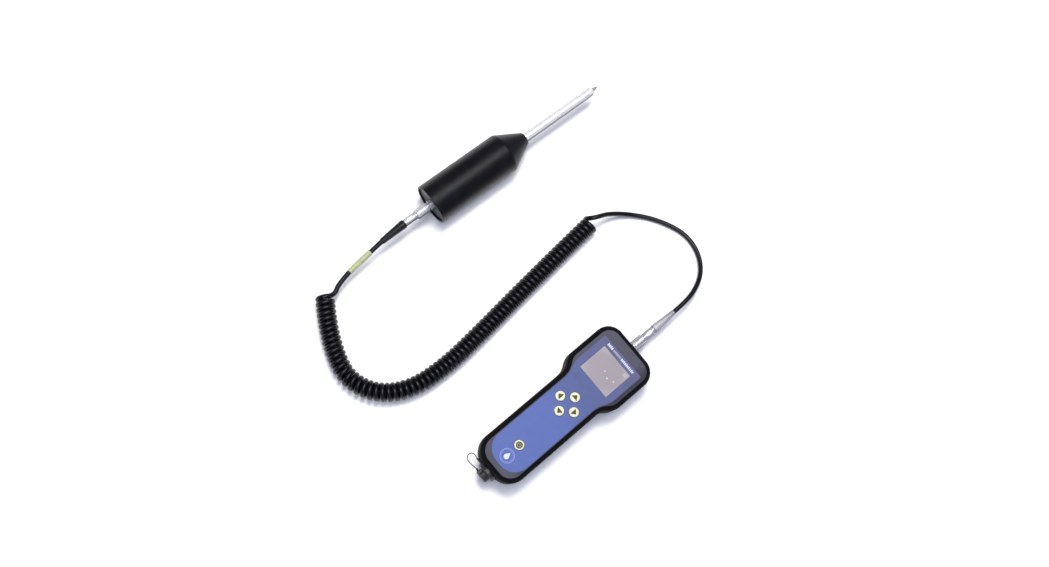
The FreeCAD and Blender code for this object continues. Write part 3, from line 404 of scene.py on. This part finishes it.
# The routes' points, in metres: the straight lead at the probe end, the coil's middle line, the
# straight lead at the meter end, and the dust cap's tether. The coil's two ends bend round until they
# face the probe lead's last point and the meter lead's first.
PROBE_LEAD = [
    (-0.2482, -0.0345, 0.0203), (-0.2469, -0.0505, 0.0186), (-0.2457, -0.066, 0.0169),
    (-0.2442, -0.081, 0.0158), (-0.2414, -0.095, 0.0153),
]
COIL = [
    (-0.2402, -0.1136, 0.0101), (-0.221, -0.1264, 0.0101), (-0.1897, -0.1411, 0.0101),
    (-0.1601, -0.1483, 0.0101), (-0.129, -0.1342, 0.0101), (-0.111, -0.1033, 0.0101),
    (-0.1078, -0.06, 0.0101), (-0.1118, -0.015, 0.0101), (-0.117, 0.032, 0.0101),
    (-0.1214, 0.076, 0.0101), (-0.1252, 0.116, 0.0101), (-0.1284, 0.1535, 0.0101),
]
METER_LEAD = [
    (-0.1254, 0.1725, 0.0132), (-0.1183, 0.1855, 0.0075), (-0.1065, 0.1995, 0.0036),
    (-0.0922, 0.2121, 0.0027), (-0.0732, 0.2235, 0.00265), (-0.053, 0.2303, 0.00265),
    (-0.0307, 0.2274, 0.003), (-0.013, 0.2145, 0.0065), (-0.0036, 0.1955, 0.011),
    (0.0, 0.176, 0.015), (0.0, 0.1576, 0.016),
]
TETHER = [
    (-0.0168, -0.0986, 0.016), (-0.0192, -0.0982, 0.016), (-0.02215, -0.098, 0.016),
    (-0.0249, -0.1005, 0.016), (-0.0249, -0.10425, 0.016), (-0.02215, -0.107, 0.016),
    (-0.0178, -0.107, 0.016), (-0.0132, -0.1064, 0.016), (-0.009, -0.1056, 0.016),
]
CORD_RADIUS = 2.65 * MM
TURN_RADIUS = 7.45 * MM
PITCH = 5.45 * MM
LEAST_PITCH = 2.03 * CORD_RADIUS  # neighbouring turns' middles, with a hair's gap between them
LINE_STEPS = 2400
SMOOTHING = 81  # steps of the middle line that its bend is averaged over
MARKS_PER_TURN = 14
FIRST_TURN_SHARE = 0.14  # of a turn, from where the coil starts to its top
CURVE_ALLOWANCE = 1.025  # a spline runs inside the corners of its control points
EASE_ANGLE = TAU / 16
EASE_STEP = 3.4 * MM


def spline_curve(name, points, radius, rounds=4, steps=4):
    """A curve object of one open NURBS spline, round in section."""
    curve = bpy.data.curves.new(name, "CURVE")
    curve.dimensions = "3D"
    curve.resolution_u = steps
    curve.bevel_depth = radius
    curve.bevel_resolution = rounds
    curve.use_fill_caps = radius > 0
    spline = curve.splines.new("NURBS")
    spline.points.add(len(points) - 1)
    for target, point in zip(spline.points, points):
        target.co = (*point, 1)
    spline.order_u = 3
    spline.use_endpoint_u = True
    holder = bpy.data.objects.new(name, curve)
    bpy.context.collection.objects.link(holder)
    return holder


def line_points(points, steps=24):
    """Points along the smooth line of a route, read from its spline."""
    holder = spline_curve("line", points, 0.0, steps=steps)
    mesh = bpy.data.meshes.new_from_object(holder)
    line = np.array([vertex.co for vertex in mesh.vertices])
    bpy.data.meshes.remove(mesh)
    bpy.data.objects.remove(holder)
    return line


def spaced(line, count):
    """The line's points at equal steps of its length, with unit headings, and the length."""
    reach = np.concatenate([[0], np.cumsum(np.linalg.norm(np.diff(line, axis=0), axis=1))])
    stations = np.linspace(0, reach[-1], count)
    points = np.stack([np.interp(stations, reach, line[:, axis]) for axis in range(3)], axis=1)
    heading = np.gradient(points, axis=0)
    heading /= np.linalg.norm(heading, axis=1)[:, None]
    return points, heading, reach[-1]


def curly_points():
    """Control points of the wound stretch: a right-handed helix round the coil's middle line.

    It starts and ends below the top of the coil, where the straight leads come in. Where the coil
    bends, its turns open out enough for their inner sides to clear each other.
    """
    count = LINE_STEPS
    middle, heading, length = spaced(line_points(COIL), count)
    step = length / (count - 1)
    bend = np.linalg.norm(np.gradient(heading, axis=0), axis=1) / step
    kernel = np.ones(SMOOTHING) / SMOOTHING
    bend = np.convolve(np.pad(bend, SMOOTHING // 2, "edge"), kernel, "valid")
    pitch = np.maximum(PITCH, LEAST_PITCH / (1 - bend * TURN_RADIUS))
    turns = np.concatenate([[0], np.cumsum(step / pitch[1:])])
    whole = round(turns[-1])
    turns *= whole / turns[-1]
    marks = np.arange(whole * MARKS_PER_TURN + 1) / MARKS_PER_TURN
    stations = np.interp(marks, turns, np.arange(count))
    sideways = np.stack([heading[:, 1], -heading[:, 0], np.zeros(count)], axis=1)
    found = []
    for mark, station in zip(marks, stations):
        index = min(int(station), count - 2)
        share = station - index
        centre = middle[index] * (1 - share) + middle[index + 1] * share
        side = sideways[index] * (1 - share) + sideways[index + 1] * share
        angle = TAU * (mark - FIRST_TURN_SHARE)
        around = math.cos(angle) * np.array([0, 0, 1]) + math.sin(angle) * side
        found.append(centre + TURN_RADIUS * CURVE_ALLOWANCE * around)
    return [tuple(point) for point in found], whole


def eased(start, before, target):
    """Points that carry on out of a turn, bending no tighter than it, until they face a point."""
    here = Vector(start)
    heading = (here - Vector(before)).normalized()
    found = []
    share = 0.0
    while share < 1.0:
        aim = (Vector(target) - here).normalized()
        share = min(1.0, EASE_ANGLE / max(heading.angle(aim), 1e-6))
        heading = heading.slerp(aim, share)
        here = here + heading * EASE_STEP
        found.append(tuple(here))
    return found


helix, turn_count = curly_points()
probe_route = PROBE_LEAD[:-1] + eased(helix[0], helix[1], PROBE_LEAD[-1])[::-1]
meter_route = eased(helix[-1], helix[-2], METER_LEAD[0]) + METER_LEAD
cord_route = probe_route + helix + meter_route
cord = spline_curve("coiled_lead", cord_route, CORD_RADIUS, rounds=5, steps=4)
cord.data.materials.append(M["cord"])
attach(cord, "lead")
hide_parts("lead_meter_end", "curly_cord", "lead_probe_end")
cord_length = spaced(line_points(cord_route, steps=8), 2)[2]
print(f"cord: {turn_count} turns, {cord_length:.3f} m long")


def tube(name, line, radii, material, sides=32):
    """A closed mesh tube along points, one radius for each ring, with flat caps on its ends."""
    points = np.asarray(line)
    heading = np.gradient(points, axis=0)
    heading /= np.linalg.norm(heading, axis=1)[:, None]
    mesh = bmesh.new()
    rings = []
    across = Vector(heading[0]).orthogonal().normalized()
    for point, direction, radius in zip(points, heading, radii):
        direction = Vector(direction)
        across = (across - direction * across.dot(direction)).normalized()
        other = direction.cross(across)
        ring = []
        for index in range(sides):
            angle = TAU * index / sides
            offset = (across * math.cos(angle) + other * math.sin(angle)) * radius
            ring.append(mesh.verts.new(Vector(point) + offset))
        rings.append(ring)
    for first, second in zip(rings, rings[1:]):
        for index in range(sides):
            following = (index + 1) % sides
            mesh.faces.new((first[index], first[following], second[following], second[index]))
    mesh.faces.new(list(reversed(rings[0])))
    mesh.faces.new(rings[-1])
    return finish_mesh(name, mesh, material)


def finish_mesh(name, mesh, material, smooth=True):
    """Turn a bmesh into a shaded object."""
    bmesh.ops.recalc_face_normals(mesh, faces=mesh.faces)
    data = bpy.data.meshes.new(name)
    mesh.to_mesh(data)
    mesh.free()
    data.materials.append(material)
    if smooth:
        data.shade_smooth()
        data.set_sharp_from_angle(angle=math.radians(38))
    holder = bpy.data.objects.new(name, data)
    bpy.context.collection.objects.link(holder)
    return holder


lead_line = line_points(probe_route + helix[:8], steps=12)
reach = np.concatenate([[0], np.cumsum(np.linalg.norm(np.diff(lead_line, axis=0), axis=1))])
marker_line = lead_line[(reach > 0.0135) & (reach < 0.0458)]
marker_radii = [3.3 * MM] * len(marker_line)
marker_radii[0] = marker_radii[-1] = 3.0 * MM
marker = tube("cable_marker_tube", marker_line, marker_radii, M["marker"])
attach(marker, "lead")
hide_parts("cable_marker")

tether_line = line_points(TETHER, steps=10)
tether = tube("cap_tether_wire", tether_line, [0.5 * MM] * len(tether_line), M["wire"], sides=12)
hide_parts("cap_tether")
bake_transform(tether)


# ---------------------------------------------------------------- turned pieces

def rounded_profile(corners, radius):
    """A turned profile with its corners rounded, from (along, radius) pairs in millimetres."""
    result = []
    for index, corner in enumerate(corners):
        here = Vector(corner)
        if index in (0, len(corners) - 1):
            result.append(here)
            continue
        before = Vector(corners[index - 1]) - here
        after = Vector(corners[index + 1]) - here
        cut = min(radius, before.length * 0.45, after.length * 0.45)
        start = here + before.normalized() * cut
        end = here + after.normalized() * cut
        for step in range(6):
            share = step / 5
            result.append(start.lerp(here, share).lerp(here.lerp(end, share), share))
    return result


def turned(name, corners, place, material, body, soften=0.4, sides=96, ribs=None):
    """A lathed piece about its place's Y axis.

    ribs cuts notches round it: (count, depth, first along, last along, sharpness).
    """
    mesh = bmesh.new()
    rings = []
    for along, radius in rounded_profile(corners, soften):
        ring = []
        for index in range(sides):
            angle = TAU * index / sides
            reach = radius
            if ribs is not None and ribs[2] <= along <= ribs[3]:
                wave = 0.5 + 0.5 * math.cos(ribs[0] * angle)
                reach -= ribs[1] * wave ** ribs[4]
            local = Vector((reach * math.sin(angle), along, reach * math.cos(angle))) * MM
            ring.append(mesh.verts.new(place @ local))
        rings.append(ring)
    for first, second in zip(rings, rings[1:]):
        for index in range(sides):
            following = (index + 1) % sides
            mesh.faces.new((first[index], first[following], second[following], second[index]))
    bmesh.ops.remove_doubles(mesh, verts=mesh.verts, dist=1e-6)
    piece = finish_mesh(name, mesh, material)
    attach(piece, body)
    return piece


YAW = math.radians(-2)
METER_PANEL = Matrix.Translation(Vector((0, 96.2, 16)) * MM)
PROBE_PLACE = Matrix.Translation(Vector((-247.3, 29.2, 22.4)) * MM) @ Matrix.Rotation(YAW, 4, "Z")
PROBE_PANEL = PROBE_PLACE @ Matrix.Translation((0, -MM, 0)) @ Matrix.Rotation(math.pi, 4, "Z")

housing = turned("probe_housing_turned", [
    (6, 20.0), (0, 20.0), (0, 22.4), (97, 22.4), (125.7, 7.0), (125.7, 5.0), (120, 5.0),
], PROBE_PLACE, M["probe"], "probe", soften=1.6, sides=160)
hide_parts("probe_housing")
rod = turned("probe_rod_turned", [
    (91, 3.2), (91, 9.0), (95.9, 9.0), (95.9, 4.9), (217.1, 4.9), (219.1, 3.6), (219.1, 3.2),
    (91, 3.2),
], PROBE_PLACE, M["rod"], "probe", soften=0.3)
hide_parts("probe_rod")
tip = turned("probe_tip_turned", [
    (191.1, 0), (191.1, 1.2), (219.75, 1.2), (219.75, 3.0), (226.4, 1.1), (227.5, 0.65), (228, 0),
], PROBE_PLACE, M["tip"], "probe", soften=0.25)
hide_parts("probe_tip")
collar = turned("tail_collar_turned", [
    (-98.15, 5.65), (-98.15, 10.3), (-98.55, 10.7), (-101.6, 10.7), (-102.3, 10.0), (-102.3, 5.65),
    (-98.15, 5.65),
], Matrix.Translation(Vector((0, 0, 16)) * MM), M["collar"], "meter", soften=0.3, sides=192,
    ribs=(4, 0.5, -103, -98.9, 16))
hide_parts("tail_collar")


# The plugs' lengths, in millimetres from the panel.
SPIGOT_START = 31.3
NUT_END = 32.2
TAPER_START = 35.2


def plug_sleeve(prefix, panel, metal):
    """The plug's sliding sleeve, with five grip grooves and a fine knurl between them."""
    profile = [(2.2, 4.0), (2.2, 4.8), (2.7, 5.3)]
    for start in (3.4, 5.5, 7.6, 9.7, 11.8):
        profile += [(start, 5.3), (start, 4.95), (start + 0.8, 4.95), (start + 0.8, 5.3)]
    profile += [(16.6, 5.3), (17.2, 4.7), (17.2, 4.0), (2.2, 4.0)]
    sleeve = turned(f"{prefix}_sleeve_turned", profile, panel, metal, f"{prefix}_sleeve",
                    soften=0.15, sides=240, ribs=(40, 0.06, 3.5, 12.5, 2))
    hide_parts(f"{prefix}_plug_sleeve")
    return sleeve


def bend_relief(name, node, place, end, thick, thin, material):
    """A tapered relief with shallow rings along its taper; the cord leaves at its thin end."""
    profile = [(SPIGOT_START, 0), (SPIGOT_START, 2.6), (NUT_END, 2.6), (NUT_END, thick),
               (TAPER_START, thick)]
    slope = (thin - thick) / (end - 1 - TAPER_START)
    for ring in range(9):
        start = 37 + 2.4 * ring
        here = thick + slope * (start - TAPER_START)
        profile += [(start, here), (start + 0.25, here - 0.2), (start + 0.75, here - 0.22),
                    (start + 1.0, here + slope)]
    profile += [(end - 1, thin), (end, thin - 0.3), (end, 0)]
    relief = turned(name, profile, place, material, "lead", soften=0.2, sides=64)
    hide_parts(node)
    return relief


meter_sleeve = plug_sleeve("meter", METER_PANEL, M["metal"])
probe_sleeve = plug_sleeve("probe", PROBE_PANEL, M["metal_high"])
relief = bend_relief("meter_relief_turned", "meter_plug_relief", METER_PANEL, 61.4, 4.5, 2.95,
                     M["relief"])
# the boot hangs a little on its nut, turned aside and down
sag = Matrix.Rotation(math.radians(2.5), 4, "Z") @ Matrix.Rotation(math.radians(-4), 4, "X")
BOOT_PLACE = (PROBE_PANEL @ Matrix.Translation((0, 32.55 * MM, 0)) @ sag
              @ Matrix.Translation((0, -NUT_END * MM, 0)))
boot = bend_relief("probe_boot_turned", "probe_plug_boot", BOOT_PLACE, 62.4, 4.9, 3.35, M["boot"])


# ---------------------------------------------------------------- keys and marks

# The height of the face, of the print on a key's top and of the power sign over it, in millimetres.
FACE = 32.82
KEY_PRINT = 34.02
SIGN_PRINT = 34.08

# Each key's place on the face in millimetres and the way its arrow points, in degrees.
KEYS = {
    "key_up": (0.0, 13.9, 90), "key_down": (0.0, -7.3, 270),
    "key_left": (-10.6, 3.3, 180), "key_right": (10.6, 3.3, 0),
    "key_power": (0.0, -60.0, None),
}


def flat_shape(name, outlines, height, thick, material, body):
    """A thin printed shape from its outlines in millimetres; an inner outline is a hole."""
    mesh = bmesh.new()
    for loop in outlines:
        verts = [mesh.verts.new(Vector((x, y, height)) * MM) for x, y in loop]
        for index in range(len(verts)):
            mesh.edges.new((verts[index], verts[(index + 1) % len(verts)]))
    bmesh.ops.triangle_fill(mesh, use_beauty=True, edges=mesh.edges)
    raised = bmesh.ops.extrude_face_region(mesh, geom=list(mesh.faces))
    moved = [item for item in raised["geom"] if isinstance(item, bmesh.types.BMVert)]
    bmesh.ops.translate(mesh, verts=moved, vec=(0, 0, thick * MM))
    piece = finish_mesh(name, mesh, material, smooth=False)
    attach(piece, body)
    return piece


def circle_outline(x, y, radius, count=64, start=0.0, sweep=TAU):
    """Points round a circle, or part of one, in millimetres."""
    total = count if sweep == TAU else count + 1
    bearings = [start + sweep * k / count for k in range(total)]
    return [(x + radius * math.cos(bearing), y + radius * math.sin(bearing))
            for bearing in bearings]


def arrow_outline(x, y, facing):
    """A triangle with rounded points that faces outwards."""
    corners = []
    for angle, reach in ((0, 2.6), (110, 3.4), (250, 3.4)):
        bearing = math.radians(angle + facing)
        cx, cy = x + reach * math.cos(bearing), y + reach * math.sin(bearing)
        for step in range(-2, 3):
            bend = bearing + step * math.radians(24)
            corners.append((cx + 0.35 * math.cos(bend), cy + 0.35 * math.sin(bend)))
    return corners


def bar_outline(x, y, width, height):
    """A small upright bar with cut corners."""
    w, h, cut = width / 2, height / 2, min(width, height) * 0.2
    return [(x - w + cut, y - h), (x + w - cut, y - h), (x + w, y - h + cut), (x + w, y + h - cut),
            (x + w - cut, y + h), (x - w + cut, y + h), (x - w, y + h - cut), (x - w, y - h + cut)]


for key_name, (x, y, facing) in KEYS.items():
    place = Matrix.Translation(Vector((x, y, 0)) * MM) @ Matrix.Rotation(math.pi / 2, 4, "X")
    cap = turned(f"{key_name}_cap", [
        (25.0, 0.0), (25.0, 1.6), (28.8, 1.6), (28.8, 6.2), (30.1, 6.2), (30.1, 5.15),
        (33.9, 5.05), (34.0, 3.0), (34.05, 0.0),
    ], place, M["key"], f"{key_name}_body", soften=0.75)
    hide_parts(key_name)
    if facing is None:
        flat_shape("power_disc", [circle_outline(x, y, 3.5)], KEY_PRINT, 0.06, M["print_dark"],
                   "key_power_body")
        gap = math.radians(38)
        outer = circle_outline(x, y, 2.1, 36, math.pi / 2 + gap, TAU - 2 * gap)
        inner = circle_outline(x, y, 1.75, 36, math.pi / 2 + gap, TAU - 2 * gap)
        flat_shape("power_sign", [outer + inner[::-1], bar_outline(x, y + 1.35, 0.4, 2.1)],
                   SIGN_PRINT, 0.05, M["print_key"], "key_power_body")
    else:
        flat_shape(f"{key_name}_arrow", [arrow_outline(x, y, facing)], KEY_PRINT, 0.06,
                   M["print_dark"], f"{key_name}_body")

emblem_x, emblem_y = 0.3, -75.8
ring = [circle_outline(emblem_x, emblem_y, 7.4), circle_outline(emblem_x, emblem_y, 6.95)]
for index in range(20):
    bearing = TAU * index / 20
    dot_x, dot_y = emblem_x + 5.9 * math.cos(bearing), emblem_y + 5.9 * math.sin(bearing)
    ring.append(circle_outline(dot_x, dot_y, 0.36, 10))
flat_shape("emblem_ring", ring, FACE, 0.02, M["print_ring"], "meter")
drop = [(emblem_x, emblem_y + 4.3)]
for step in range(25):
    bearing = math.radians(40 - 260 * step / 24)
    drop.append((emblem_x + 2.7 * math.cos(bearing), emblem_y - 1.1 + 2.7 * math.sin(bearing)))
flat_shape("emblem_drop", [drop], FACE, 0.02, M["print_pale"], "meter")

# a row of plain bars over the display: a bold group, a small warm group and a bold group
bar_x = -19.2
for group, (count, width, gap, height, tint) in enumerate((
        (4, 1.4, 0.55, 3.0, "print_pale"), (8, 0.9, 0.5, 2.2, "print_warm"),
        (10, 1.3, 0.57, 2.8, "print_pale"))):
    bars = []
    for index in range(count):
        tall = height * (1.0, 0.86, 1.0, 0.93)[index % 4]
        bars.append(bar_outline(bar_x + width / 2, 76.3 + (tall - height) / 2, width, tall))
        bar_x += width + gap
    bar_x += 0.75
    flat_shape(f"head_bars_{group}", bars, FACE, 0.02, M[tint], "meter")

# resting segments of the display: three short dashes and a corner sign, lighter than the panel
dashes = [(-0.4, 55.1, 1.1, 0.8), (6.4, 51.8, 1.3, 1.2), (13.4, 54.7, 1.1, 1.0)]
flat_shape("display_dashes", [bar_outline(*dash) for dash in dashes], FACE, 0.015, M["segment"],
           "meter")
flat_shape("display_sign", [bar_outline(16.0, 67.8, 4.6, 3.4)], FACE, 0.01, M["segment_soft"],
           "meter")


# ---------------------------------------------------------------- floor

floor_material = Nodes("studio_floor")
tone = floor_material.ramp(floor_material.noise(3, 2.0), [(0.3, (0.9, 0.9, 0.915)),
                                                          (0.7, (0.93, 0.93, 0.94))])
floor_material.link(tone, floor_material.shader.inputs["Base Color"])
floor_material.shader.inputs["Roughness"].default_value = 0.7
floor_material.link(tone, floor_material.shader.inputs["Emission Color"])
distance = floor_material.tree.nodes.new("ShaderNodeVectorMath")
distance.operation = "LENGTH"
floor_material.link(floor_material.place, distance.inputs[0])
glow = floor_material.tree.nodes.new("ShaderNodeMapRange")
for name, value in (("From Min", 0.7), ("From Max", 2.6), ("To Min", 0.03), ("To Max", 0.62)):
    glow.inputs[name].default_value = value
floor_material.link(distance.outputs["Value"], glow.inputs["Value"])
floor_material.link(glow.outputs["Result"], floor_material.shader.inputs["Emission Strength"])
floor_mesh = bmesh.new()
bmesh.ops.create_grid(floor_mesh, x_segments=1, y_segments=1, size=6)
floor = finish_mesh("floor", floor_mesh, floor_material.material, smooth=False)
